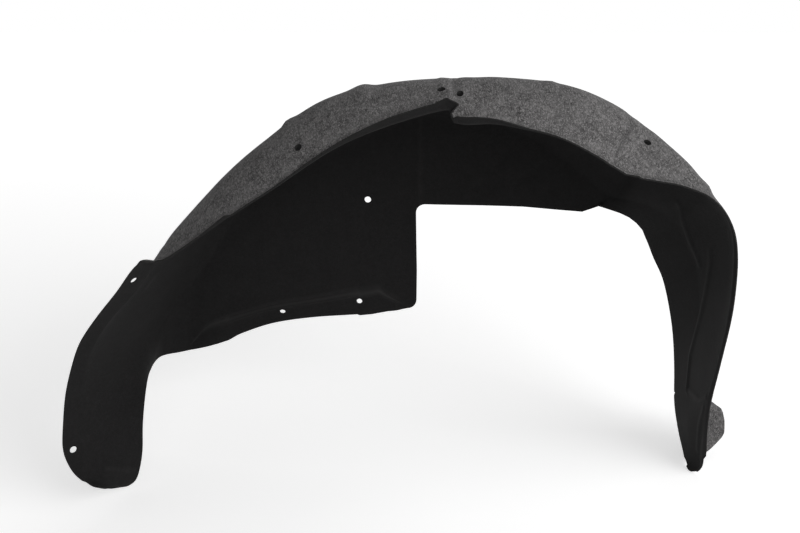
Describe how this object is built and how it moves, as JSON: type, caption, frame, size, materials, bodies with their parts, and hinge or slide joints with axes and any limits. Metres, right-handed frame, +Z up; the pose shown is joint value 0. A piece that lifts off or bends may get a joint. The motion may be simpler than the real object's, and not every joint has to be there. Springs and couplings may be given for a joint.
{
  "type": "wheel arch liner",
  "caption": "Moulded felt liner for a rear wheel arch: a domed roof on two legs, with a flat inner wall cut away for the suspension.",
  "frame": {"origin": "centre of the main fixing hole of the inner wall, on the wall's wheel side", "axes": "+X along the vehicle from the foot leg to the toe leg, +Y from the outboard lip to the inner wall, +Z up"},
  "size_m": [0.9277, 0.264, 0.5695],
  "materials": {
    "felt": "matt needle-punched felt, black on the wheel side and mottled grey on the body side"
  },
  "bodies": {
    "root": {"liner": "felt"}
  },
  "joints": []
}
